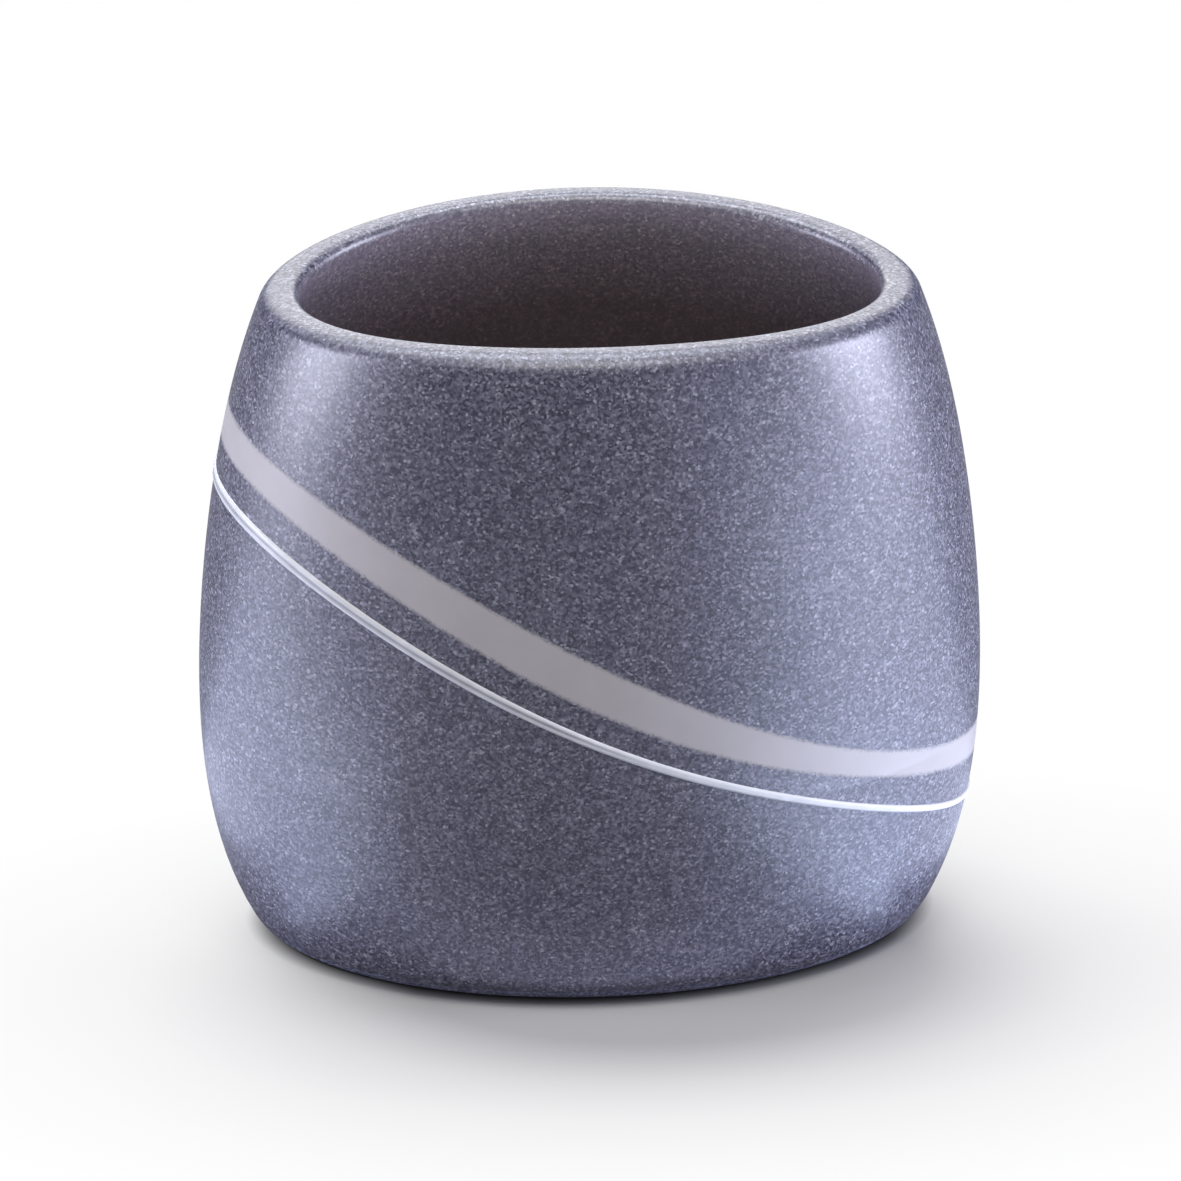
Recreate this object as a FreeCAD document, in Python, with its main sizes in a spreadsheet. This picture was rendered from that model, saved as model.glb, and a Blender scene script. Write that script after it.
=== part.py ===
import FreeCAD, Part
import os
import Sketcher
from FreeCAD import Rotation, Vector

# An oval bathroom tumbler of sand-filled casting resin. Seen from the front the casting is barrel
# shaped, and its rim arches up a little between the two narrow ends. Two stripes are let into the
# outside and run down from the upper left to the lower right, all the way round: a broad warm grey
# band and, below it, a fine white bead. An oval non-slip pad sits in a recess under the base.
# X runs along the width, Y along the depth and Z up. The origin is on the table, under the middle.

# Driving sizes in millimetres. A name that ends in share is a part of the size that it multiplies.
SIZES = {
    # Outside of the casting, as ovals at five heights. A draw is how far an oval lies inside the belly,
    # at the two ends or at the two long sides. The haunch and the shoulder take shares of the draws.
    "belly_width": 110.0,
    "belly_depth": 70.8,
    "belly_height": 41.5,
    "base_end_draw": 8.1,
    "base_side_draw": 3.7,
    "haunch_end_share": 0.517,
    "haunch_side_share": 0.678,
    "haunch_height_share": 0.202,
    "mouth_end_draw": 12.4,
    "mouth_side_draw": 4.2,
    "shoulder_end_share": 0.242,
    "shoulder_side_share": 0.143,
    "shoulder_height_share": 0.718,
    # Rim: the blank is cast higher than the crest and trimmed to the arch
    "crest_height": 98.9,
    "arch_drop": 2.4,
    "trim_allowance": 3.0,
    "rim_outer_round": 2.8,
    "rim_inner_round": 1.4,
    "outer_round_limit_share": 0.6,
    "inner_round_limit_share": 0.3,
    # Inside
    "wall": 5.2,
    "floor_thickness": 7.0,
    "well_round": 6.0,
    # Underside
    "foot_round": 6.0,
    "pad_inset": 2.5,
    "pad_thickness": 1.5,
    "pad_rise": 0.6,
    "pad_gap": 0.15,
    # Stripes: in the front view each edge is a smooth curve with five control heights, evenly spaced
    # from the left end to the right end and given as shares of the crest height
    "band_top_far_left_share": 0.8384,
    "band_top_left_share": 0.7374,
    "band_top_middle_share": 0.5277,
    "band_top_right_share": 0.3854,
    "band_top_far_right_share": 0.3097,
    "band_foot_far_left_share": 0.7785,
    "band_foot_left_share": 0.6773,
    "band_foot_middle_share": 0.3923,
    "band_foot_right_share": 0.3751,
    "band_foot_far_right_share": 0.2549,
    "bead_top_far_left_share": 0.7344,
    "bead_top_left_share": 0.6108,
    "bead_top_middle_share": 0.3582,
    "bead_top_right_share": 0.3632,
    "bead_top_far_right_share": 0.1902,
    # Stripes: how high the bead is, measured upright at the same five places
    "bead_left_drop": 2.1,
    "bead_middle_drop": 1.4,
    "bead_right_drop": 1.15,
    # Stripes: how deep they are let in, and how far the bead stands out
    "inlay_depth": 1.6,
    "bead_rise": 0.3,
    # Cutting shapes run past the casting by this much
    "overrun": 5.0,
}

doc = FreeCAD.newDocument("tumbler")
sheet = doc.addObject("Spreadsheet::Sheet", "sizes")
for row, (alias, value) in enumerate(SIZES.items(), start=1):
    sheet.set(f"A{row}", alias)
    sheet.set(f"B{row}", str(value))
    sheet.setAlias(f"B{row}", alias)
doc.recompute()

# The ovals that the casting runs through: half width, half depth and height of each
BELLY = ("sizes.belly_width / 2", "sizes.belly_depth / 2", "sizes.belly_height")
BASE = (
    f"{BELLY[0]} - sizes.base_end_draw",
    f"{BELLY[1]} - sizes.base_side_draw",
    "sizes.pad_rise",
)
HAUNCH = (
    f"{BELLY[0]} - sizes.base_end_draw * sizes.haunch_end_share",
    f"{BELLY[1]} - sizes.base_side_draw * sizes.haunch_side_share",
    "sizes.belly_height * sizes.haunch_height_share",
)
MOUTH = (
    f"{BELLY[0]} - sizes.mouth_end_draw",
    f"{BELLY[1]} - sizes.mouth_side_draw",
    "sizes.crest_height + sizes.trim_allowance",
)
SHOULDER = (
    f"{BELLY[0]} - sizes.mouth_end_draw * sizes.shoulder_end_share",
    f"{BELLY[1]} - sizes.mouth_side_draw * sizes.shoulder_side_share",
    "sizes.crest_height * sizes.shoulder_height_share",
)
WELL_FLOOR = (HAUNCH[0], HAUNCH[1], "sizes.pad_rise + sizes.floor_thickness")
OUTSIDE = [BASE, HAUNCH, BELLY, SHOULDER, MOUTH]
INSIDE = [WELL_FLOOR, BELLY, SHOULDER, MOUTH]

# The edges of the stripes in the front view: five places along the width, and control heights there
PLACES = ("far_left", "left", "middle", "right", "far_right")
REACH = f"({BELLY[0]} + sizes.bead_rise)"
STATIONS = (f"-{REACH}", f"-{REACH} / 2", "0", f"{REACH} / 2", REACH)
BAND_TOP = [f"sizes.crest_height * sizes.band_top_{place}_share" for place in PLACES]
BAND_FOOT = [f"sizes.crest_height * sizes.band_foot_{place}_share" for place in PLACES]
BEAD_TOP = [f"sizes.crest_height * sizes.bead_top_{place}_share" for place in PLACES]
BEAD_DROPS = ("left", "left", "middle", "right", "right")
BEAD_FOOT = [f"{top} - sizes.bead_{drop}_drop" for top, drop in zip(BEAD_TOP, BEAD_DROPS)]

# The length of a cutting shape that goes right through the casting along Y
THROUGH = "sizes.belly_depth + 2 * sizes.overrun"


def oval(name, half_width, half_depth, height):
    """A flat oval whose two radii and height follow the sheet."""
    ring = doc.addObject("Part::Ellipse", name)
    ring.setExpression("MajorRadius", half_width)
    ring.setExpression("MinorRadius", half_depth)
    ring.setExpression("Placement.Base.z", height)
    return ring


def oval_form(name, stations, offset):
    """A smooth solid through the stations' ovals, each grown by the offset."""
    form = doc.addObject("Part::Loft", name)
    form.Sections = [
        oval(f"{name}_{number}", f"{half_width} + {offset}", f"{half_depth} + {offset}", height)
        for number, (half_width, half_depth, height) in enumerate(stations, start=1)
    ]
    form.Solid = True
    form.Ruled = False
    return form


def oval_plate(name, half_width, half_depth, thickness):
    """A flat oval plate that stands on the table plane."""
    plate = doc.addObject("Part::Extrusion", name)
    plate.Base = oval(f"{name}_outline", half_width, half_depth, "0")
    plate.DirMode = "Custom"
    plate.Dir = Vector(0, 0, 1)
    plate.Solid = True
    plate.setExpression("LengthFwd", thickness)
    return plate


def combined(kind, name, base, tool):
    """The cut or the common part of two solids."""
    result = doc.addObject(kind, name)
    result.Base = base
    result.Tool = tool
    return result


def rings_by_height(shape):
    """The edges that run right round the tumbler, from the lowest to the highest."""
    rings = [edge for edge in shape.Edges if edge.isClosed()]
    return sorted(rings, key=lambda edge: edge.CenterOfMass.z)


def round_off(body, name, choose, radius):
    """A fillet on the one edge that choose takes from the rings of the body so far."""
    doc.recompute()
    before = body.Tip
    edge = choose(rings_by_height(before.Shape))
    number = [edge.isSame(each) for each in before.Shape.Edges].index(True) + 1
    fillet = body.newObject("PartDesign::Fillet", name)
    fillet.Base = (before, [f"Edge{number}"])
    fillet.setExpression("Radius", radius)
    body.Tip = fillet


def longer(edges):
    return max(edges, key=lambda edge: edge.Length)


def shorter(edges):
    return min(edges, key=lambda edge: edge.Length)


def fix_point(sketch, name, point, across, up):
    """Ties a point of a sketch to the sheet, in both directions."""
    for kind, way, size in (("DistanceX", "across", across), ("DistanceY", "up", up)):
        value = sheet.evalExpression(size)
        sketch.addConstraint(Sketcher.Constraint(kind, *point, value))
        label = f"{name}_{way}"
        sketch.renameConstraint(sketch.ConstraintCount - 1, label)
        sketch.setExpression(f"Constraints.{label}", size)


def stripe_edge(sketch, side, heights):
    """A smooth curve whose five control points follow the sheet."""
    values = [(sheet.evalExpression(x), sheet.evalExpression(z)) for x, z in zip(STATIONS, heights)]
    curve = Part.BezierCurve()
    curve.setPoles([Vector(x, z, 0) for x, z in values])
    edge = sketch.addGeometry(curve.toBSpline())
    sketch.exposeInternalGeometry(edge)
    added = range(edge + 1, sketch.GeometryCount)
    handles = [each for each in added if sketch.Geometry[each].TypeId == "Part::GeomCircle"]
    for place, handle, x, z in zip(PLACES, handles, STATIONS, heights):
        fix_point(sketch, f"{side}_{place}", (handle, 3), x, z)
    return edge


def stripe_slab(name, upper, lower):
    """A slab right through the tumbler along Y, whose upper and lower sides are smooth curves."""
    body = doc.addObject("PartDesign::Body", name)
    plane = [each for each in body.Origin.OriginFeatures if each.Role == "XZ_Plane"][0]
    sketch = body.newObject("Sketcher::SketchObject", f"{name}_outline")
    sketch.AttachmentSupport = [(plane, "")]
    sketch.MapMode = "FlatFace"
    top = stripe_edge(sketch, "upper", upper)
    foot = stripe_edge(sketch, "lower", lower)
    for end in (1, 2):
        side = sketch.addGeometry(Part.LineSegment(sketch.getPoint(top, end), sketch.getPoint(foot, end)))
        sketch.addConstraint(Sketcher.Constraint("Coincident", side, 1, top, end))
        sketch.addConstraint(Sketcher.Constraint("Coincident", side, 2, foot, end))
    slab = body.newObject("PartDesign::Pad", f"{name}_pad")
    slab.Profile = sketch
    slab.SideType = "Symmetric"
    slab.setExpression("Length", THROUGH)
    body.Tip = slab
    return body


# Casting: the outside less the hollow, trimmed to the arch of the rim
outside = oval_form("outside", OUTSIDE, "0")
hollow = oval_form("hollow", INSIDE, "-sizes.wall")
blank = combined("Part::Cut", "blank", outside, hollow)
arch_radius = f"(({MOUTH[0]})^2 + sizes.arch_drop^2) / (2 * sizes.arch_drop)"
arch = doc.addObject("Part::Cylinder", "arch")
arch.Placement.Rotation = Rotation(Vector(1, 0, 0), 90)
arch.setExpression("Radius", arch_radius)
arch.setExpression("Height", THROUGH)
arch.setExpression("Placement.Base.y", f"({THROUGH}) / 2")
arch.setExpression("Placement.Base.z", f"sizes.crest_height - {arch_radius}")
trimmed = combined("Part::Common", "trimmed", blank, arch)

# Casting: its rounded edges, the rim's two limited by the wall between them
casting = doc.addObject("PartDesign::Body", "casting")
casting.BaseFeature = trimmed
rim_outer_radius = "min(sizes.rim_outer_round; sizes.wall * sizes.outer_round_limit_share)"
rim_inner_radius = "min(sizes.rim_inner_round; sizes.wall * sizes.inner_round_limit_share)"
round_off(casting, "well_fillet", lambda rings: shorter(rings[:2]), "sizes.well_round")
round_off(casting, "foot_fillet", lambda rings: rings[0], "sizes.foot_round")
round_off(casting, "rim_outer_fillet", lambda rings: longer(rings[-2:]), rim_outer_radius)
round_off(casting, "rim_inner_fillet", lambda rings: shorter(rings[-3:]), rim_inner_radius)

# Base pad, and the recess that holds it with a narrow gap all round
pad_outline = [f"{half} - sizes.foot_round - sizes.pad_inset" for half in BASE[:2]]
recess_outline = [f"{half} + sizes.pad_gap" for half in pad_outline]
pad = oval_plate("base_pad", *pad_outline, "sizes.pad_thickness")
recess = oval_plate("pad_recess", *recess_outline, "sizes.pad_thickness")

# Stripes: rings of a skin of the casting, cut out by the two slabs
inlay_floor = oval_form("inlay_floor", OUTSIDE, "-sizes.inlay_depth")
bead_crown = oval_form("bead_crown", OUTSIDE, "sizes.bead_rise")
band_skin = combined("Part::Cut", "band_skin", outside, inlay_floor)
bead_skin = combined("Part::Cut", "bead_skin", bead_crown, inlay_floor)
band_slab = stripe_slab("band_slab", BAND_TOP, BAND_FOOT)
bead_slab = stripe_slab("bead_slab", BEAD_TOP, BEAD_FOOT)
band = combined("Part::Common", "broad_band_inlay", band_skin, band_slab)
bead = combined("Part::Common", "fine_line_inlay", bead_skin, bead_slab)

# The finished casting has the recess and a groove of each stripe's own form
recessed = combined("Part::Cut", "recessed", casting, recess)
grooved = combined("Part::Cut", "grooved", recessed, band)
tumbler = combined("Part::Cut", "tumbler_body", grooved, bead)
doc.recompute()

SUB_PARTS = [tumbler, band, bead, pad]
for each in doc.Objects:
    if "Invalid" in each.State or "Error" in each.State:
        raise RuntimeError(f"{each.Label} failed: {each.State}")
for each in SUB_PARTS:
    if each.Shape.isNull() or not each.Shape.isValid() or len(each.Shape.Solids) != 1:
        raise RuntimeError(f"{each.Label} is not one valid solid")

os.makedirs("parts", exist_ok=True)
for each in SUB_PARTS:
    each.Shape.exportStep(f"parts/{each.Label}.step")
    print(each.Label, round(each.Shape.Volume), "cubic millimetres")
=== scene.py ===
# %% [markdown]
# # An oval tumbler of cast resin
# The tumbler stands on a washstand and holds toothbrushes. It is cast from resin full of fine grey
# sand, and two light stripes are let into its side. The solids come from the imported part, and this
# script dresses them: smooth pieces that stand for the solids, finishes, a floor, light and a camera.

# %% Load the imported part
import math
import bmesh
import bpy
import numpy as np
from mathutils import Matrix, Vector


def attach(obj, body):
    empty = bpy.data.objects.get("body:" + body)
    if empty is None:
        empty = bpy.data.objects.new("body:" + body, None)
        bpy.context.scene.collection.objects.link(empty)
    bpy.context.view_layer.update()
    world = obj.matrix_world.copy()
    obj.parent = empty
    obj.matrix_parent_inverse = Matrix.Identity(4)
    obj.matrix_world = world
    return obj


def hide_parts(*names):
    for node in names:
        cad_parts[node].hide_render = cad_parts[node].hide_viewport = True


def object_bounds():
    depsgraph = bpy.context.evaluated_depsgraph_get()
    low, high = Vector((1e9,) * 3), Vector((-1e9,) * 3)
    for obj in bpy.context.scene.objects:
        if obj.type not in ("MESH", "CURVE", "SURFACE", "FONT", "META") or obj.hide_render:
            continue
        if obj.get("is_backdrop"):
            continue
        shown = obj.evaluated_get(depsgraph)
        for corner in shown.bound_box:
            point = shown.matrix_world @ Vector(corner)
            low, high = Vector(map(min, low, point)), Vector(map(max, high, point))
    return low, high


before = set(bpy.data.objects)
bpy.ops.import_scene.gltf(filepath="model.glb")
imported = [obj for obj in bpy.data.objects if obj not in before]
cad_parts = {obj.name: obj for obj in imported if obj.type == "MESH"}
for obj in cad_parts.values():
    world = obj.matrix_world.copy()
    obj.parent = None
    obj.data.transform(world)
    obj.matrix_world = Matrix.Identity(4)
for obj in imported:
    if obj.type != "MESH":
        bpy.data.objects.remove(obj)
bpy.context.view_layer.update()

# %% [markdown]
# ## The form of the casting
# Seen from above every level of the casting is an oval, and five of them fix its barrel shape: base,
# haunch, belly, shoulder and mouth. The solid runs one smooth polynomial through them, measured along
# the profile, so the same polynomial is used here and the new pieces lie exactly on the solid. Sizes
# are written in millimetres, as on a drawing, and turned into metres when a ring of points is laid.

# %% The ovals and the curve through them
MM = 0.001
SEGMENTS = 320
PROFILE_POINTS = 4001
WALL = 5.2
BASE_HEIGHT = 0.6
FLOOR_HEIGHT = 7.6
CREST = 98.9
BASE = (46.9, 31.7, BASE_HEIGHT)
HAUNCH = (50.812, 32.891, 8.383)
BELLY = (55.0, 35.4, 41.5)
SHOULDER = (51.999, 34.799, 71.01)
MOUTH = (42.6, 31.2, 101.9)


def profile(stations):
    """Half width and half depth at any height, smooth through the stations."""
    table = np.array(stations)
    steps = np.hypot(np.diff(table[:, 0]), np.diff(table[:, 2]))
    along = np.concatenate([[0.0], np.cumsum(steps)]) / steps.sum()
    fine = np.linspace(0.0, 1.0, PROFILE_POINTS)
    order = len(along) - 1
    widths, depths, heights = (np.polyval(np.polyfit(along, c, order), fine) for c in table.T)
    return lambda z: (np.interp(z, heights, widths), np.interp(z, heights, depths))


outside = profile([BASE, HAUNCH, BELLY, SHOULDER, MOUTH])
well_floor = (HAUNCH[0], HAUNCH[1], FLOOR_HEIGHT)
inside = profile([(w - WALL, d - WALL, z) for w, d, z in (well_floor, BELLY, SHOULDER, MOUTH)])
turn = np.linspace(0.0, 2 * math.pi, SEGMENTS, endpoint=False)
across, deep = np.cos(turn), np.sin(turn)
print("belly half width and depth:", outside(BELLY[2]), "mouth inside:", inside(CREST))


# %% [markdown]
# ## Rings of points
# A ring of 320 points lies on the form at one height, or at a height that changes along the ring. All
# pieces on the casting are made from such rings, so their edges meet point for point. Where the form
# meets a sloping cut, the height is found by trying again from the last answer until it settles.


# %% Rings of points on the form
SETTLING_ROUNDS = 40


def ring_at(form, height):
    """One ring on a form; height is a number or one height for each point of the ring."""
    width, depth = form(height)
    return np.stack([width * across, depth * deep, np.broadcast_to(height, across.shape)], axis=1)


def outward(form, height):
    """The level directions that point straight out of a form at a ring."""
    width, depth = form(height)
    normal = np.stack([across / width, deep / depth, np.zeros(SEGMENTS)], axis=1)
    return normal / np.linalg.norm(normal, axis=1)[:, None]


def meet(form, height_over):
    """Heights where the form meets a surface whose height depends on X alone."""
    height = np.full(SEGMENTS, CREST / 2)
    for _ in range(SETTLING_ROUNDS):
        height = height_over(form(height)[0] * across)
    return height


print("ring at the belly:", ring_at(outside, BELLY[2]).shape)

# %% [markdown]
# ## The arched rim and the stripes' edges
# The rim isn't level: it rises a little from the two narrow ends to the middle of the long sides, as
# if a large cylinder had trimmed it. The stripes were drawn as smooth curves in the front view, each
# with five control heights, and run straight through to the back, so front and back mirror each other.

# %% Heights of the rim and of the stripes
ARCH_DROP = 2.4
REACH = 55.3
arch_radius = (MOUTH[0] ** 2 + ARCH_DROP ** 2) / (2 * ARCH_DROP)


def rim_height(x):
    return CREST - arch_radius + np.sqrt(arch_radius ** 2 - x ** 2)


def drawn_curve(controls):
    """A smooth curve over X with evenly spaced control heights."""
    order = len(controls) - 1

    def height(x):
        t = (x + REACH) / (2 * REACH)
        weights = [math.comb(order, k) * t ** k * (1 - t) ** (order - k) for k in range(order + 1)]
        return sum(weight * control for weight, control in zip(weights, controls))

    return height


band_top = drawn_curve(np.array([0.8384, 0.7374, 0.5277, 0.3854, 0.3097]) * CREST)
band_foot = drawn_curve(np.array([0.7785, 0.6773, 0.3923, 0.3751, 0.2549]) * CREST)
bead_controls = np.array([0.7344, 0.6108, 0.3582, 0.3632, 0.1902]) * CREST
bead_top = drawn_curve(bead_controls)
bead_foot = drawn_curve(bead_controls - np.array([2.1, 2.1, 1.4, 1.15, 1.15]))
levels = {
    "bead_foot": meet(outside, bead_foot),
    "bead_top": meet(outside, bead_top),
    "band_foot": meet(outside, band_foot),
    "band_top": meet(outside, band_top),
}
print({name: (round(h.min(), 1), round(h.max(), 1)) for name, h in levels.items()})

# %% [markdown]
# ## Rounded edges
# Four edges of the casting are rounded: the foot, the two edges of the rim and the corner inside the
# well. A bevel of the mesh would need evenly spaced edges to stay smooth, so each round is laid as a
# few rings on a true arc that touches both faces. The arc is worked out upright, in the plane that
# stands square to the oval at each point.


# %% An arc between two faces
def arc_rings(corner, out, first, second, radius, steps):
    """Rings on the arc that touches two faces, which leave the corner along two upright directions."""
    first = first / np.linalg.norm(first, axis=1)[:, None]
    second = second / np.linalg.norm(second, axis=1)[:, None]
    angle = np.arccos(np.clip((first * second).sum(1), -1, 1))[:, None]
    middle = first + second
    middle /= np.linalg.norm(middle, axis=1)[:, None]
    centre = middle * radius / np.sin(angle / 2)
    start = first * radius / np.tan(angle / 2) - centre
    end = second * radius / np.tan(angle / 2) - centre
    sweep = math.pi - angle
    rings = []
    for share in np.linspace(0.0, 1.0, steps + 1):
        spoke = (np.sin((1 - share) * sweep) * start + np.sin(share * sweep) * end) / np.sin(sweep)
        flat = centre + spoke
        rings.append(corner + flat[:, :1] * out + flat[:, 1:] * np.array([0.0, 0.0, 1.0]))
    return rings


def lean(form, low, high, out):
    """The upright direction from one height of a form to another, as out and up."""
    way = ring_at(form, high) - ring_at(form, low)
    return np.stack([(way * out).sum(1), way[:, 2]], axis=1)


def between(form, low, high, steps):
    """Rings on a form between two heights, without the first and the last."""
    return [ring_at(form, low + (high - low) * k / steps) for k in range(1, steps)]


belly_out = outward(outside, BELLY[2])
print("lean at the belly, out and up:", lean(outside, BELLY[2] - 1, BELLY[2] + 1, belly_out)[0])

# %% [markdown]
# ## Foot, rim and well
# The foot and the corner in the well have generous rounds, because sharp inside corners tear a rubber
# mould. The rim is eased by hand after casting, more on the outside than on the inside. Near an edge
# the lean of a wall is measured over a short span: 4 mm at the foot and the well, 2 mm at the rim.

# %% Foot, rim and well
FOOT_ROUND = 6.0
RIM_OUTER_ROUND = 2.8
RIM_INNER_ROUND = 1.4
WELL_ROUND = 6.0
FOOT_STEPS = 12
RIM_OUTER_STEPS = 12
RIM_INNER_STEPS = 9
WELL_STEPS = 10
WALL_SPAN = 4
RIM_SPAN = 2
level_in = np.tile([-1.0, 0.0], (SEGMENTS, 1))

base_out = outward(outside, BASE_HEIGHT)
base_level = np.full(SEGMENTS, BASE_HEIGHT)
up_the_foot = lean(outside, base_level, base_level + WALL_SPAN, base_out)
base_ring = ring_at(outside, BASE_HEIGHT)
foot = arc_rings(base_ring, base_out, level_in, up_the_foot, FOOT_ROUND, FOOT_STEPS)

lip = meet(outside, rim_height)
lip_out = outward(outside, lip)
lip_ring = ring_at(outside, lip)
top_slope = lip_ring[:, 0] / arch_radius * lip_out[:, 0]
over_the_rim = np.stack([-np.ones(SEGMENTS), top_slope], axis=1)
down_the_side = lean(outside, lip, lip - RIM_SPAN, lip_out)
rim_outer = arc_rings(
    lip_ring, lip_out, down_the_side, over_the_rim, RIM_OUTER_ROUND, RIM_OUTER_STEPS
)

mouth = meet(inside, rim_height)
mouth_out = outward(inside, mouth)
mouth_ring = ring_at(inside, mouth)
down_the_wall = lean(inside, mouth, mouth - RIM_SPAN, mouth_out)
rim_inner = arc_rings(
    mouth_ring, mouth_out, -over_the_rim, down_the_wall, RIM_INNER_ROUND, RIM_INNER_STEPS
)

floor_level = np.full(SEGMENTS, FLOOR_HEIGHT)
floor_out = outward(inside, floor_level)
floor_ring = ring_at(inside, floor_level)
up_the_wall = lean(inside, floor_level, floor_level + WALL_SPAN, floor_out)
well = arc_rings(floor_ring, floor_out, up_the_wall, level_in, WELL_ROUND, WELL_STEPS)
land = np.linalg.norm(rim_outer[-1] - rim_inner[0], axis=1)
print("land on the rim:", round(land.min(), 2), "to", round(land.max(), 2), "mm")

# %% [markdown]
# ## The casting
# The whole casting is one skin without a seam: it starts under the base in the recess for the pad,
# goes round the foot, up the side, dips into the grooves of the two stripes, turns over the rim and
# runs down inside to the floor of the well. A ring of edges is extruded from one station to the next,
# which keeps the edges of the stripes and of the rounds as true edge loops.


# %% Extruding a ring from station to station
SHARP_ANGLE = math.radians(50)


def skin(name, rings, marks, closed=False):
    """A piece whose surface runs through rings; its ends are capped, or joined where it is closed.

    Marks are values that a finish can read later: for each ring one number for each of its points.
    """
    mesh = bmesh.new()
    number = mesh.verts.layers.int.new("number")
    mark = mesh.verts.layers.float.new("mark")
    start = bmesh.ops.create_circle(mesh, cap_ends=not closed, segments=SEGMENTS, radius=1.0)["verts"]
    for k, vert in enumerate(start):
        vert[number] = k
        vert.co = rings[0][k] * MM
        vert[mark] = marks[0][k]
    loop = list(mesh.edges)
    first_loop = list(loop)
    for row, ring in enumerate(rings[1:], start=1):
        made = bmesh.ops.extrude_edge_only(mesh, edges=loop)["geom"]
        fresh = {each for each in made if isinstance(each, bmesh.types.BMVert)}
        for vert in fresh:
            vert.co = ring[vert[number]] * MM
            vert[mark] = marks[row][vert[number]]
        edges = [each for each in made if isinstance(each, bmesh.types.BMEdge)]
        loop = [each for each in edges if each.verts[0] in fresh and each.verts[1] in fresh]
    if closed:
        bmesh.ops.bridge_loops(mesh, edges=first_loop + loop)
    else:
        bmesh.ops.holes_fill(mesh, edges=loop, sides=0)
    mesh.verts.layers.int.remove(number)
    bmesh.ops.recalc_face_normals(mesh, faces=mesh.faces)
    for face in mesh.faces:
        face.smooth = True
    data = bpy.data.meshes.new(name)
    mesh.to_mesh(data)
    mesh.free()
    data.set_sharp_from_angle(angle=SHARP_ANGLE)
    piece = bpy.data.objects.new(name, data)
    bpy.context.scene.collection.objects.link(piece)
    print(name, len(data.vertices), "vertices", len(data.polygons), "faces")
    return piece


print("each ring has", SEGMENTS, "edges to extrude")


# %% [markdown]
# ## The stations
# Under the base lies a shallow recess for the pad. Each stripe has a groove 1.6 mm deep, whose walls
# start exactly at the edge of the stripe.

# %% The stations of the casting
INLAY_DEPTH = 1.6
PAD_INSET = 2.5
PAD_GAP = 0.15
PAD_THICKNESS = 1.5
RECESS_SHARES = (0.2, 0.6, 1.0)
WELL_SHARES = (0.9, 0.5, 0.15)
SIDE_STEPS = 30
BETWEEN_STRIPES_STEPS = 5
INSIDE_STEPS = 36
pad_half = np.array([BASE[0], BASE[1]]) - FOOT_ROUND - PAD_INSET
recess_half = pad_half + PAD_GAP


def flat_oval(half, height):
    return np.stack([half[0] * across, half[1] * deep, np.full(SEGMENTS, height)], axis=1)


def pressed_in(height, depth):
    """A ring on the outside, moved out of or into the surface."""
    return ring_at(outside, height) + outward(outside, height) * depth


foot_end = foot[-1][:, 2]
rim_start = rim_outer[0][:, 2]
recess = [flat_oval(recess_half * share, PAD_THICKNESS) for share in RECESS_SHARES]
side = between(outside, foot_end, levels["bead_foot"], SIDE_STEPS)
for low, high, above, steps in (
    ("bead_foot", "bead_top", levels["band_foot"], BETWEEN_STRIPES_STEPS),
    ("band_foot", "band_top", rim_start, SIDE_STEPS),
):
    side += [ring_at(outside, levels[low]), pressed_in(levels[low], -INLAY_DEPTH)]
    side += [pressed_in(levels[high], -INLAY_DEPTH), ring_at(outside, levels[high])]
    side += between(outside, levels[high], above, steps)
inner_wall = between(inside, rim_inner[-1][:, 2], well[0][:, 2], INSIDE_STEPS)
floor_half = np.array([well[-1][:, 0].max(), well[-1][:, 1].max()])
well_bottom = [flat_oval(floor_half * share, FLOOR_HEIGHT) for share in WELL_SHARES]
outer_rows = recess + [flat_oval(recess_half, BASE_HEIGHT)] + foot + side
inner_rows = inner_wall + well + well_bottom
print("rings outside:", len(outer_rows), "rim:", len(rim_outer + rim_inner), "inside:", len(inner_rows))

# %% [markdown]
# ## Where the casting gets painted light and shade
# The finish isn't the same all over. A strip low on the foot is painted paler, a painted reflection
# of light from the floor; the rim is rubbed matt and its colour a little darker; and inside, painted
# light and shade run from pale at the mouth to darker and browner the deeper one looks.
# Each ring gets a mark for that: 0 on the side, minus 1 on the rim, minus 3 on the foot and 1 to 2
# from the mouth down to the floor. The finish reads the marks later.

# %% The casting with its marks
SIDE_MARK = 0.0
LIT_STRIP_MARK = -3.0
LIT_STRIP_LOW = 1.3
LIT_STRIP_HIGH = 3.2
RUBBED_FROM = 0.45
# The painted shade inside deepens over this many millimetres below the mouth.
INSIDE_SHADE_DEPTH = 45.0
marks = []
for ring in outer_rows:
    # The strip low on the foot is marked for painted light, a pale painted reflection of the floor.
    in_lit_strip = (ring[:, 2] > LIT_STRIP_LOW) & (ring[:, 2] < LIT_STRIP_HIGH)
    marks.append(np.where(in_lit_strip, LIT_STRIP_MARK, SIDE_MARK))
for share in np.linspace(0.0, 1.0, len(rim_outer)):
    marks.append(np.full(SEGMENTS, -min(1.0, share / RUBBED_FROM)))
for share in np.linspace(-1.0, 1.0, len(rim_inner)):
    marks.append(np.full(SEGMENTS, share))
# Inside, the mark grows with depth for the painted light and shade.
for ring in inner_rows:
    marks.append(1.0 + np.clip((rim_inner[-1][:, 2] - ring[:, 2]) / INSIDE_SHADE_DEPTH, 0.0, 1.0))
casting = skin("casting", outer_rows + rim_outer + rim_inner + inner_rows, marks)

# %% [markdown]
# ## The broad stripe
# The broad stripe is plain grey resin poured into a groove and sanded flush. It is a ring with its own
# thickness, made from the same edges as its groove. Its mark is the distance from its nearer edge.

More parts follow.
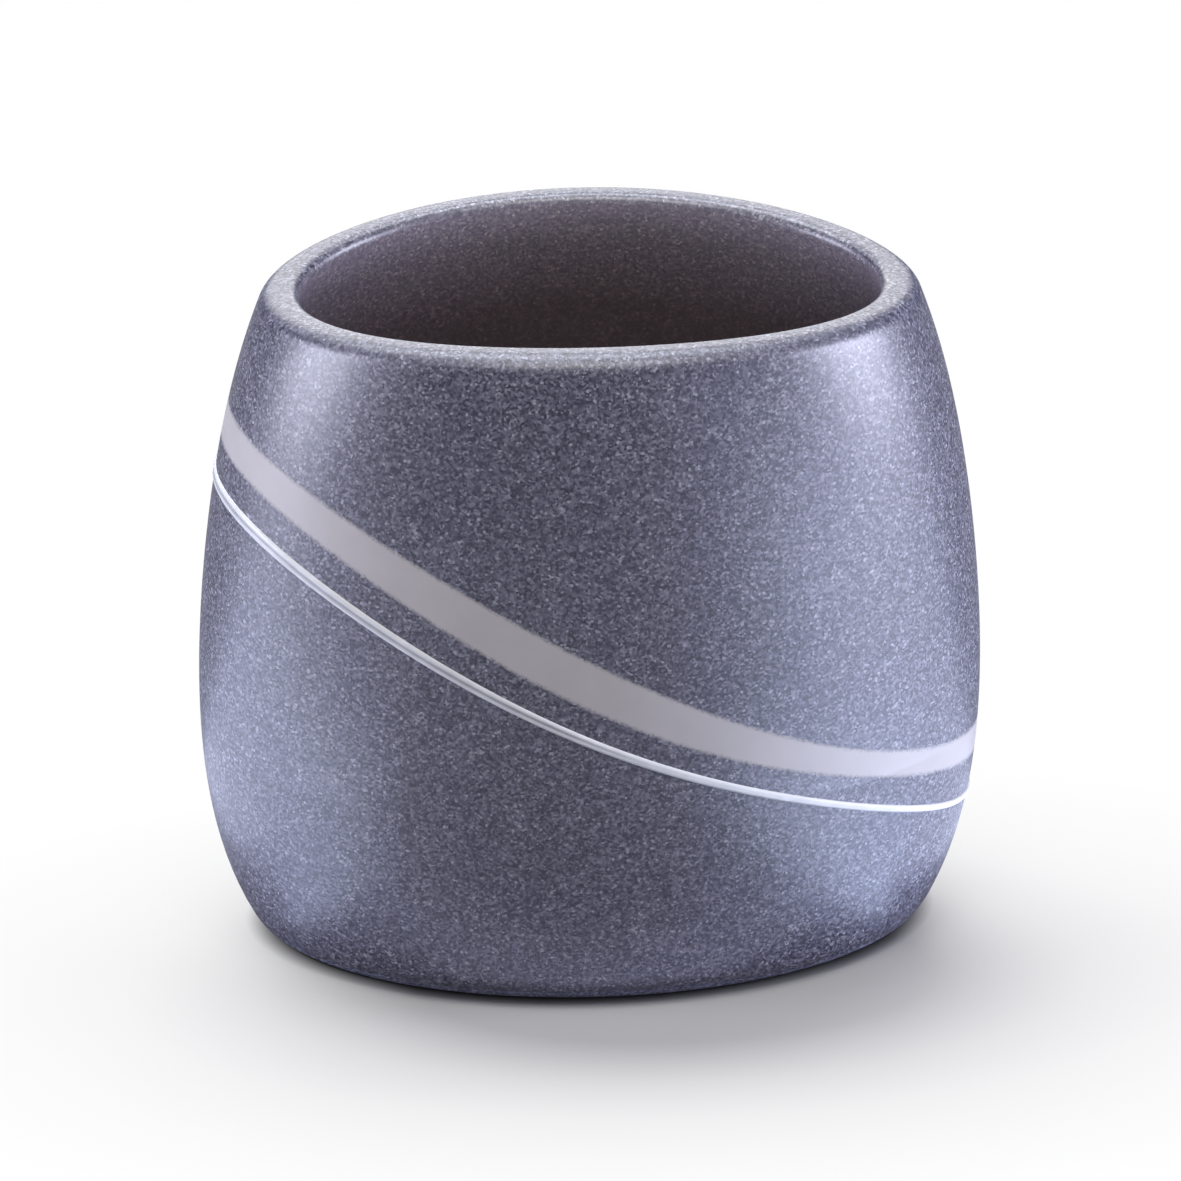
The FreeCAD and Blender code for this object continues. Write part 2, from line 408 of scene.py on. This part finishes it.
# %% The broad band
BAND_STEPS = 10
band_width = levels["band_top"] - levels["band_foot"]
band_rings = []
from_edge = []
for k in range(BAND_STEPS + 1):
    share = k / BAND_STEPS
    band_rings.append(ring_at(outside, levels["band_foot"] + band_width * share))
    from_edge.append(band_width * min(share, 1 - share))
band_rings += [pressed_in(levels[edge], -INLAY_DEPTH) for edge in ("band_top", "band_foot")]
from_edge += [np.zeros(SEGMENTS)] * 2
broad_band = skin("broad_band", band_rings, from_edge, closed=True)

# %% [markdown]
# ## The fine stripe
# The fine stripe is a bead of white resin that stands a hair proud. On its left half it has shrunk
# along its middle, so it reads as two white lines with a greyer core. The shallow hollow is a form and
# not only a colour, and its mark says how deep it is at each point.

# %% The fine bead
BEAD_RISE = 0.29
BEAD_HOLLOW = 0.14
BEAD_STEPS = 14
CORE_END = 6.0
CORE_FADE = 14.0
CORE_MIDDLE = 0.48
CORE_WIDTH = 0.17
bead_rings = []
core = []
for k in range(BEAD_STEPS + 1):
    share = k / BEAD_STEPS
    height = levels["bead_foot"] + (levels["bead_top"] - levels["bead_foot"]) * share
    x = ring_at(outside, height)[:, 0]
    shrunk = np.clip((CORE_END - x) / CORE_FADE, 0.0, 1.0)
    crown = BEAD_RISE * (1 - (2 * share - 1) ** 4)
    hollow = shrunk * math.exp(-((share - CORE_MIDDLE) / CORE_WIDTH) ** 2)
    bead_rings.append(pressed_in(height, (crown - BEAD_HOLLOW * hollow)[:, None]))
    core.append(hollow)
bead_rings += [pressed_in(levels[edge], -INLAY_DEPTH) for edge in ("bead_top", "bead_foot")]
core += [np.zeros(SEGMENTS)] * 2
fine_bead = skin("fine_bead", bead_rings, core, closed=True)

# %% [markdown]
# ## The pad under the base
# A thin oval of foam rubber keeps the tumbler from sliding and lifts it just clear of the table. The
# fine dark line under it is that gap together with a shadow painted on the floor. The pad is cut from
# sheet, so a plain disc with softened edges is the true shape.

# %% The pad
PAD_SEGMENTS = 160
PAD_EDGE = 0.3
PAD_EDGE_STEPS = 3
EDGE_ANGLE = 1.0
pad_mesh = bmesh.new()
bmesh.ops.create_circle(pad_mesh, cap_ends=True, segments=PAD_SEGMENTS, radius=1.0)
bmesh.ops.scale(pad_mesh, vec=(pad_half[0] * MM, pad_half[1] * MM, 1.0), verts=pad_mesh.verts)
risen = bmesh.ops.extrude_face_region(pad_mesh, geom=list(pad_mesh.faces))["geom"]
risen_verts = [each for each in risen if isinstance(each, bmesh.types.BMVert)]
bmesh.ops.translate(pad_mesh, vec=(0.0, 0.0, PAD_THICKNESS * MM), verts=risen_verts)
bmesh.ops.recalc_face_normals(pad_mesh, faces=pad_mesh.faces)
rims = [edge for edge in pad_mesh.edges if edge.calc_face_angle(0.0) > EDGE_ANGLE]
bmesh.ops.bevel(
    pad_mesh,
    geom=rims,
    offset=PAD_EDGE * MM,
    affect="EDGES",
    segments=PAD_EDGE_STEPS,
    profile=0.5,
    material=-1,
)
pad_data = bpy.data.meshes.new("grip_pad")
pad_mesh.to_mesh(pad_data)
pad_mesh.free()
grip_pad = bpy.data.objects.new("grip_pad", pad_data)
bpy.context.scene.collection.objects.link(grip_pad)
print("pad:", [round(v, 4) for v in grip_pad.dimensions], len(pad_data.polygons), "faces")

# %% [markdown]
# ## Each piece on its solid
# Every piece stands for one solid of the part and rides on the one body there is.

# %% Tie the pieces to the part
for piece, node, slot in (
    (casting, "tumbler_body", "speckled_casting"),
    (broad_band, "broad_band_inlay", "warm_grey_inlay"),
    (fine_bead, "fine_line_inlay", "white_inlay"),
    (grip_pad, "base_pad", "pad_rubber"),
):
    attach(piece, "root")
    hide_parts(node)
    print(piece.name, "stands for", node)

# %% [markdown]
# ## Helpers for the finishes
# All finishes are built from a few kinds of nodes, so short helpers keep the recipes readable: a node
# with its settings, a colour ramp, a mix of two colours and a value stretched from range to range.


# %% Small helpers for materials
def new_material(name):
    material = bpy.data.materials.new(name)
    material.use_nodes = True
    tree = material.node_tree
    return material, tree, tree.nodes["Principled BSDF"]


def add(tree, kind, **settings):
    """A node with its properties and unlinked sockets set by name."""
    node = tree.nodes.new(kind)
    for key, value in settings.items():
        if key in node.inputs:
            node.inputs[key].default_value = value
        else:
            setattr(node, key, value)
    return node


def ramp(tree, source, stops):
    """A colour ramp fed by source; stops are pairs of position and linear colour or grey."""
    node = tree.nodes.new("ShaderNodeValToRGB")
    while len(node.color_ramp.elements) < len(stops):
        node.color_ramp.elements.new(0.5)
    for element, (position, colour) in zip(node.color_ramp.elements, stops):
        element.position = position
        grey = (colour, colour, colour) if isinstance(colour, (int, float)) else colour
        element.color = (*grey, 1.0)
    tree.links.new(source, node.inputs["Fac"])
    return node.outputs["Color"]


def mix(tree, kind, factor, first, second):
    """A mix of two colours; each input is a socket or a plain value.

    A mix node has sockets for every kind of data; its colours are inputs 6 and 7 and output 2.
    """
    node = add(tree, "ShaderNodeMix", data_type="RGBA", blend_type=kind)
    for socket, value in ((node.inputs[0], factor), (node.inputs[6], first), (node.inputs[7], second)):
        if isinstance(value, bpy.types.NodeSocket):
            tree.links.new(value, socket)
        else:
            socket.default_value = value
    return node.outputs[2]


def span(tree, value, low, high, at_low, at_high):
    """A value stretched from one range to another."""
    node = add(tree, "ShaderNodeMapRange")
    tree.links.new(value, node.inputs["Value"])
    names = ("From Min", "From Max", "To Min", "To Max")
    for socket, number in zip(names, (low, high, at_low, at_high)):
        node.inputs[socket].default_value = number
    return node.outputs["Result"]


print("finishes so far:", len(bpy.data.materials))

# %% [markdown]
# ## The speckled casting's finish
# The resin is filled with sand of about 0.4 mm, so close up every grain shows: most are dark grey,
# some bluish, purple or brown, and a few are pale quartz. A Voronoi texture gives each grain its own
# random colour, which is what sand looks like; a noise texture alone would look like clouds. A much
# coarser Voronoi texture sets a few dark pits, where air bubbles broke the surface.

# %% Sand grains and pits
GRAINS_PER_METRE = 3000.0
PITS_PER_METRE = 105.0
SAND_TONES = [
    (0.0, (0.005, 0.005, 0.031)),
    (0.3, (0.051, 0.05, 0.087)),
    (0.5, (0.088, 0.086, 0.131)),
    (0.8, (0.16, 0.157, 0.21)),
    (0.95, (0.248, 0.243, 0.3)),
    (1.0, (0.4, 0.392, 0.45)),
]
SAND_TINTS = [(0.0, (1.04, 0.97, 0.97)), (0.5, (1.0, 1.0, 1.0)), (1.0, (0.96, 1.02, 1.03))]
PIT_SHADE = [(0.0, 0.16), (0.025, 0.3), (0.04, 1.0)]


def sand(tree, place):
    """The colour of the sand grains, a random number for each grain and a height for their relief."""
    grains = add(tree, "ShaderNodeTexVoronoi", Scale=GRAINS_PER_METRE, Randomness=1.0)
    tree.links.new(place, grains.inputs["Vector"])
    parts = add(tree, "ShaderNodeSeparateColor")
    tree.links.new(grains.outputs["Color"], parts.inputs["Color"])
    tone = ramp(tree, parts.outputs[0], SAND_TONES)
    tint = ramp(tree, parts.outputs[1], SAND_TINTS)
    colour = mix(tree, "MULTIPLY", 1.0, tone, tint)
    return colour, parts.outputs[2], grains.outputs["Distance"]


def pitted(tree, place, colour):
    """A colour with a few dark pits, where air bubbles broke the surface."""
    bubbles = add(tree, "ShaderNodeTexVoronoi", Scale=PITS_PER_METRE, Randomness=1.0)
    tree.links.new(place, bubbles.inputs["Vector"])
    return mix(tree, "MULTIPLY", 1.0, colour, ramp(tree, bubbles.outputs["Distance"], PIT_SHADE))


print("grain size about", round(1000.0 / GRAINS_PER_METRE, 2), "mm")

# %% [markdown]
# ## One finish for the whole casting
# The side shows the grains as they are. The marks blend in the rest: inside, calmer grains under
# painted light and shade, pale at the mouth and dark brown deeper down; a matt rim with a slightly
# darker colour; and at the foot a pale strip, a painted reflection of light from the floor. A very
# slight relief lets single grains catch the light. The resin is glossier than plain plastic, so it
# mirrors the lamps as soft upright bands.

# %% The casting's material
SIDE_ROUGHNESS = 0.40
RIM_ROUGHNESS = 0.48
RIM_TINT = (0.85, 0.88, 0.95, 1.0)
# Painted light: the foot strip's colour is brightened to stand for light reflected from the floor.
FOOT_PAINTED_LIGHT = (1.75, 1.85, 2.0, 1.0)
GRAIN_LEVEL = (11.0, 11.0, 7.6, 1.0)
CALM = 0.7
WHITE = (1.0, 1.0, 1.0, 1.0)
RESIN_IOR = 1.7
RESIN_SPECULAR = 1.0
GRAIN_BUMP = 0.06
GRAIN_RELIEF = 0.00004
# Painted light and shade inside: pale near the mouth, dark and brown deeper down.
INSIDE_PAINTED_LIGHT_AND_SHADE = [
    (0.0, (0.35, 0.31, 0.37)),
    (0.12, (0.21, 0.178, 0.205)),
    (0.35, (0.115, 0.087, 0.097)),
    (1.0, (0.048, 0.034, 0.037)),
]
cast_resin, tree, shader = new_material("speckled_casting")
place = add(tree, "ShaderNodeTexCoord").outputs["Object"]
grain_colour, _, relief = sand(tree, place)
colour = pitted(tree, place, grain_colour)
mark = add(tree, "ShaderNodeAttribute", attribute_name="mark").outputs["Fac"]
# Painted light and shade inside, read from the mark.
inside_painted_shading = ramp(tree, span(tree, mark, 1.0, 2.0, 0.0, 1.0), INSIDE_PAINTED_LIGHT_AND_SHADE)
calm_grain = mix(tree, "MIX", CALM, mix(tree, "MULTIPLY", 1.0, colour, GRAIN_LEVEL), WHITE)
inside_painted = mix(tree, "MULTIPLY", 1.0, calm_grain, inside_painted_shading)
painted_casting = mix(tree, "MIX", span(tree, mark, 0.0, 1.0, 0.0, 1.0), colour, inside_painted)
# The rim's colour is a little darker and bluer than the side.
rim_darker = mix(tree, "MULTIPLY", 1.0, colour, RIM_TINT)
painted_casting = mix(tree, "MIX", span(tree, mark, 0.0, -1.0, 0.0, 1.0), painted_casting, rim_darker)
# Painted light on the foot strip.
foot_painted_light = mix(tree, "MULTIPLY", 1.0, colour, FOOT_PAINTED_LIGHT)
painted_casting = mix(tree, "MIX", span(tree, mark, -1.5, -3.0, 0.0, 1.0), painted_casting, foot_painted_light)
tree.links.new(painted_casting, shader.inputs["Base Color"])
matt = span(tree, mark, 0.0, -1.0, SIDE_ROUGHNESS, RIM_ROUGHNESS)
tree.links.new(matt, shader.inputs["Roughness"])
bump = add(tree, "ShaderNodeBump", Strength=GRAIN_BUMP, Distance=GRAIN_RELIEF, invert=True)
tree.links.new(relief, bump.inputs["Height"])
tree.links.new(bump.outputs["Normal"], shader.inputs["Normal"])
shader.inputs["Specular IOR Level"].default_value = RESIN_SPECULAR
shader.inputs["IOR"].default_value = RESIN_IOR
casting.data.materials.append(cast_resin)
print(cast_resin.name, "has", len(tree.nodes), "nodes")

# %% [markdown]
# ## The broad band's finish
# The band is poured from the same resin without the sand, so it is smooth and only faintly cloudy.
# Where it meets the casting a little of it runs between the grains, and that makes its edges soft.
# The band's mark, the distance from its edge in millimetres, says where sand shows through.

# %% The broad band's material
BAND_TONES = [(0.3, (0.52, 0.487, 0.482)), (0.7, (0.556, 0.524, 0.518))]
EDGE_GRAIN = -0.32
EDGE_START = -0.55
EDGE_END = 0.6
BAND_CLOUDS_PER_METRE = 160.0
BAND_CLOUD_DETAIL = 4.0
BAND_ROUGHNESS = 0.42
BAND_SPECULAR = 0.8
plain_grey, tree, shader = new_material("warm_grey_inlay")
place = add(tree, "ShaderNodeTexCoord").outputs["Object"]
cloud = add(tree, "ShaderNodeTexNoise", Scale=BAND_CLOUDS_PER_METRE, Detail=BAND_CLOUD_DETAIL)
tree.links.new(place, cloud.inputs["Vector"])
resin = ramp(tree, cloud.outputs["Fac"], BAND_TONES)
sand_colour, sand_random, _ = sand(tree, place)
edge = add(tree, "ShaderNodeAttribute", attribute_name="mark")
ragged = add(tree, "ShaderNodeMath", operation="MULTIPLY_ADD")
ragged.inputs[1].default_value = EDGE_GRAIN
tree.links.new(sand_random, ragged.inputs[0])
tree.links.new(edge.outputs["Fac"], ragged.inputs[2])
covered = add(tree, "ShaderNodeMapRange", interpolation_type="SMOOTHSTEP")
covered.inputs["From Min"].default_value = EDGE_START
covered.inputs["From Max"].default_value = EDGE_END
tree.links.new(ragged.outputs["Value"], covered.inputs["Value"])
soft_edge = mix(tree, "MIX", covered.outputs["Result"], sand_colour, resin)
tree.links.new(pitted(tree, place, soft_edge), shader.inputs["Base Color"])
shader.inputs["Roughness"].default_value = BAND_ROUGHNESS
shader.inputs["Specular IOR Level"].default_value = BAND_SPECULAR
broad_band.data.materials.append(plain_grey)
print(plain_grey.name, "has", len(tree.nodes), "nodes")

# %% [markdown]
# ## The white bead's finish
# The bead is opaque white resin with a gloss. Along the hollow of its left half its colour is grey.
# The bead's mark says where that core is.

# %% The white bead's material
BEAD_WHITES = [(0.3, (0.78, 0.79, 0.8)), (0.7, (0.88, 0.89, 0.9))]
CORE_GREYS = [(0.3, (0.36, 0.365, 0.385)), (0.7, (0.46, 0.465, 0.485))]
BEAD_CLOUDS_PER_METRE = 400.0
BEAD_CLOUD_DETAIL = 3.0
BEAD_ROUGHNESS = 0.3
white_resin, tree, shader = new_material("white_inlay")
place = add(tree, "ShaderNodeTexCoord").outputs["Object"]
cloud = add(tree, "ShaderNodeTexNoise", Scale=BEAD_CLOUDS_PER_METRE, Detail=BEAD_CLOUD_DETAIL)
tree.links.new(place, cloud.inputs["Vector"])
white = ramp(tree, cloud.outputs["Fac"], BEAD_WHITES)
core_mark = add(tree, "ShaderNodeAttribute", attribute_name="mark")
grey_core = ramp(tree, cloud.outputs["Fac"], CORE_GREYS)
bead_colour = mix(tree, "MIX", core_mark.outputs["Fac"], white, grey_core)
tree.links.new(bead_colour, shader.inputs["Base Color"])
shader.inputs["Roughness"].default_value = BEAD_ROUGHNESS
fine_bead.data.materials.append(white_resin)
print(white_resin.name, "has", len(tree.nodes), "nodes")

# %% [markdown]
# ## The pad's finish
# Foam rubber is dull and black, and a cut face shows its small cells. A Voronoi texture gives the
# cells and their relief.

# %% The pad's material
CELLS_PER_METRE = 3000.0
FOAM_BLACKS = [(0.0, 0.012), (0.6, 0.035)]
FOAM_BUMP = 0.6
FOAM_RELIEF = 0.00008
FOAM_ROUGHNESS = 0.85
foam, tree, shader = new_material("pad_rubber")
place = add(tree, "ShaderNodeTexCoord").outputs["Object"]
cells = add(tree, "ShaderNodeTexVoronoi", Scale=CELLS_PER_METRE)
tree.links.new(place, cells.inputs["Vector"])
black = ramp(tree, cells.outputs["Distance"], FOAM_BLACKS)
tree.links.new(black, shader.inputs["Base Color"])
bump = add(tree, "ShaderNodeBump", Strength=FOAM_BUMP, Distance=FOAM_RELIEF)
tree.links.new(cells.outputs["Distance"], bump.inputs["Height"])
tree.links.new(bump.outputs["Normal"], shader.inputs["Normal"])
shader.inputs["Roughness"].default_value = FOAM_ROUGHNESS
grip_pad.data.materials.append(foam)
print(foam.name, "has", len(tree.nodes), "nodes")

# %% [markdown]
# ## The floor
# The photograph has a white floor that keeps only a soft shadow. A wide grey sheet takes that shadow.
# It belongs to the stage and not to the part, so it is left out of the measured box.

# %% The floor sheet
FLOOR_RADIUS = 3.0
FLOOR_SEGMENTS = 96
floor_mesh = bmesh.new()
bmesh.ops.create_circle(floor_mesh, cap_ends=True, segments=FLOOR_SEGMENTS, radius=FLOOR_RADIUS)
floor_data = bpy.data.meshes.new("floor")
floor_mesh.to_mesh(floor_data)
floor_mesh.free()
floor = bpy.data.objects.new("floor", floor_data)
bpy.context.scene.collection.objects.link(floor)
floor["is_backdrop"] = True
print("floor:", [round(v, 2) for v in floor.dimensions[:2]], "m")

# %% [markdown]
# ## A painted shadow under the foot, white further out
# Right under the foot a nearly black shadow is painted on the sheet, because the gap there is too
# narrow for light to get in.
# Further out the camera sees it glow up to plain white. Both fade along ovals: a spherical gradient
# falls from its centre to nothing at a distance of 1, and a mapping stretches that to the wanted oval.
# The oval of the glow is moved forward and to the right, because the shadow lies there.

# %% The floor's shade and glow
FLOOR_GREY = (0.6, 0.592, 0.575)
CONTACT_OVAL = (0.0587, 0.0348)
CONTACT_START = 0.16
CONTACT_END = 0.23
PAINTED_SHADOW_BLACK = 0.02
GLOW_SCALE = (6.9, 13.24, 10.0)
GLOW_SHIFT = (-0.07, 0.291, 0.0)
GLOW_FADE = [(0.1, 1.0), (0.463, 0.67), (0.595, 0.43), (0.748, 0.0)]


def oval_fade(tree, place, **mapping):
    """A value that falls from the middle of an oval to its edge."""
    stretched = add(tree, "ShaderNodeMapping", **mapping)
    fade = add(tree, "ShaderNodeTexGradient", gradient_type="SPHERICAL")
    tree.links.new(place, stretched.inputs["Vector"])
    tree.links.new(stretched.outputs["Vector"], fade.inputs["Vector"])
    return fade.outputs["Fac"]


def product(tree, first, second):
    """Two values multiplied."""
    node = add(tree, "ShaderNodeMath", operation="MULTIPLY")
    tree.links.new(first, node.inputs[0])
    tree.links.new(second, node.inputs[1])
    return node.outputs["Value"]


paper, tree, shader = new_material("white_floor")
shader.inputs["Roughness"].default_value = 1.0
shader.inputs["Specular IOR Level"].default_value = 0.0
place = add(tree, "ShaderNodeTexCoord").outputs["Object"]
under = oval_fade(tree, place, Scale=(1 / CONTACT_OVAL[0], 1 / CONTACT_OVAL[1], 1.0))
# Painted shadow: the sheet turns nearly black right under the foot.
shade = ramp(tree, under, [(CONTACT_START, FLOOR_GREY), (CONTACT_END, PAINTED_SHADOW_BLACK)])
tree.links.new(shade, shader.inputs["Base Color"])
away = ramp(tree, oval_fade(tree, place, Scale=GLOW_SCALE, Location=GLOW_SHIFT), GLOW_FADE)
clear_glow = product(tree, away, span(tree, under, CONTACT_START, CONTACT_END, 1.0, 0.0))
floor_data.materials.append(paper)
print("glow starts", round((1 - GLOW_FADE[-1][0]) / GLOW_SCALE[1], 3), "m from its centre")

# %% [markdown]
# ## What the camera and the light see of the floor
# Only the camera sees the glow. For light that bounces, the sheet is a darker one, because in the
# photograph little light comes back up from it, and a mirrored ray sees a mix of the two sheets.

# %% The floor's two sheets
BOUNCE_GREY = (0.08, 0.08, 0.08, 1.0)
MIRRORED_SHARE = 0.3
seen = add(tree, "ShaderNodeLightPath")
glow = add(tree, "ShaderNodeEmission", Strength=1.0)
bounce = add(tree, "ShaderNodeBsdfDiffuse", Color=BOUNCE_GREY)
mirrored = add(tree, "ShaderNodeMath", operation="MULTIPLY_ADD")
mirrored.inputs[1].default_value = MIRRORED_SHARE
tree.links.new(seen.outputs["Is Glossy Ray"], mirrored.inputs[0])
tree.links.new(seen.outputs["Is Camera Ray"], mirrored.inputs[2])
sheet = add(tree, "ShaderNodeMixShader")
tree.links.new(mirrored.outputs["Value"], sheet.inputs["Fac"])
tree.links.new(bounce.outputs["BSDF"], sheet.inputs[1])
tree.links.new(shader.outputs["BSDF"], sheet.inputs[2])
blend = add(tree, "ShaderNodeMixShader")
tree.links.new(product(tree, clear_glow, seen.outputs["Is Camera Ray"]), blend.inputs["Fac"])
tree.links.new(sheet.outputs["Shader"], blend.inputs[1])
tree.links.new(glow.outputs["Emission"], blend.inputs[2])
tree.links.new(blend.outputs["Shader"], tree.nodes["Material Output"].inputs["Surface"])
print(paper.name, "has", len(tree.nodes), "nodes")

# %% [markdown]
# ## The world
# Behind the floor everything is white to the camera. As light the world is nearly dark, so that the
# lamps alone shape the tumbler.

# %% The world
WORLD_LIGHT = 0.06
BACKDROP_LIGHT = 1.0
world = bpy.data.worlds.new("studio")
bpy.context.scene.world = world
world.use_nodes = True
tree = world.node_tree
backdrop = tree.nodes["Background"]
backdrop.inputs["Color"].default_value = WHITE
seen = add(tree, "ShaderNodeLightPath")
level = span(tree, seen.outputs["Is Camera Ray"], 0.0, 1.0, WORLD_LIGHT, BACKDROP_LIGHT)
tree.links.new(level, backdrop.inputs["Strength"])
print("world light:", WORLD_LIGHT)

# %% [markdown]
# ## The lamps
# The upright highlights left and right come from two softboxes at the sides, the bright rim from soft
# light above, behind and in front. A lamp is given by the brightness of its face, because that is what
# a highlight shows; the power follows from its area.


# %% The softboxes
def panel_lamp(name, width, height, radiance, colour):
    """A rectangular lamp; radiance is how bright its face looks."""
    lamp = bpy.data.lights.new(name, "AREA")
    lamp.shape = "RECTANGLE"
    lamp.size = width
    lamp.size_y = height
    lamp.energy = math.pi * width * height * radiance
    lamp.color = colour
    holder = bpy.data.objects.new(name, lamp)
    bpy.context.scene.collection.objects.link(holder)
    print(name, round(lamp.energy, 2), "W")
    return holder


def softbox(name, place, aim, width, height, radiance, colour):
    """A lamp that faces a point."""
    holder = panel_lamp(name, width, height, radiance, colour)
    holder.location = place
    holder.rotation_euler = (Vector(aim) - Vector(place)).to_track_quat("-Z", "Y").to_euler()


MIDDLE = (0.0, 0.0, 0.05)
softbox("overhead", (-0.08, 0.30, 0.98), (0.0, 0.30, 0.0), 0.32, 1.0, 8.6, (0.97, 1.0, 1.07))
softbox("back", (0.0, 1.10, 0.50), MIDDLE, 0.9, 0.5, 4.6, (1.0, 1.0, 1.0))
softbox("top_front", (0.0, -0.50, 0.92), MIDDLE, 0.7, 0.4, 5.2, (1.0, 0.98, 0.96))
softbox("front_fill", (0.0, -1.10, 0.42), MIDDLE, 0.7, 0.4, 0.4, (1.0, 0.97, 1.0))
softbox("right_box", (0.97, -0.20, 0.21), MIDDLE, 0.47, 0.47, 10.0, (0.98, 1.0, 1.26))
softbox("left_box", (-0.98, -0.10, 0.21), MIDDLE, 0.50, 0.47, 7.2, (0.98, 1.0, 1.24))

# %% [markdown]
# ## Low panels
# Below the belly the wall leans inward, so it mirrors the table and not the softboxes. Reflectors that
# lie on the table light it in a studio. Here lamps lie flat on the floor and shine up, and the camera
# doesn't see them.

# %% The low panels
PANEL_HEIGHT = 0.0005


def low_panel(name, x_range, y_range, radiance, colour):
    """A lamp that lies flat on the floor, shines up and isn't seen by the camera."""
    holder = panel_lamp(name, x_range[1] - x_range[0], y_range[1] - y_range[0], radiance, colour)
    holder.location = (sum(x_range) / 2, sum(y_range) / 2, PANEL_HEIGHT)
    holder.rotation_euler = (math.pi, 0.0, 0.0)
    holder.visible_camera = False


low_panel("right_panel_front", (0.13, 0.40), (-0.30, -0.08), 2.1, (0.93, 1.0, 1.36))
low_panel("right_panel", (0.06, 0.30), (-0.08, 0.03), 1.2, (0.9, 1.0, 1.3))
low_panel("right_foot_panel", (0.046, 0.13), (-0.10, -0.02), 1.65, (0.85, 1.0, 1.4))
low_panel("left_panel", (-0.30, -0.07), (-0.08, 0.05), 1.45, (0.92, 1.0, 1.34))
low_panel("left_foot_panel", (-0.09, -0.05), (-0.05, -0.015), 1.1, (0.9, 1.0, 1.4))
low_panel("front_foot_panel", (-0.045, 0.085), (-0.048, -0.034), 0.34, (0.85, 0.9, 1.3))

# %% [markdown]
# ## The camera
# The outline, the rim and the stripes in the photograph fit a long lens a metre away, 25 degrees above
# the table and turned a little to the left.

# %% The camera
ELEVATION = math.radians(25.0)
YAW = math.radians(4.632)
DISTANCE = 1.0
TARGET_HEIGHT = 0.050055
SENSOR_WIDTH = 36.0
FOCAL_LENGTH = 217.5
target = Vector((0.0, 0.0, TARGET_HEIGHT))
level_part = math.cos(ELEVATION)
towards = Vector((-math.sin(YAW) * level_part, -math.cos(YAW) * level_part, math.sin(ELEVATION)))
lens = bpy.data.cameras.new("camera")
lens.sensor_width = SENSOR_WIDTH
lens.lens = FOCAL_LENGTH
camera = bpy.data.objects.new("camera", lens)
camera.location = target + towards * DISTANCE
camera.rotation_euler = (-towards).to_track_quat("-Z", "Y").to_euler()
bpy.context.scene.collection.objects.link(camera)
bpy.context.scene.camera = camera
bpy.context.scene.view_settings.view_transform = "Standard"
print("camera at", [round(v, 3) for v in camera.location])

# %% [markdown]
# ## The sizes once more
# The dressed pieces should fill the same box as the solids; the box of the dressed pieces is measured
# and printed.

# %% Measure the visual box
bpy.context.view_layer.update()
low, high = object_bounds()
print("visual box:", [round(v, 5) for v in high - low])
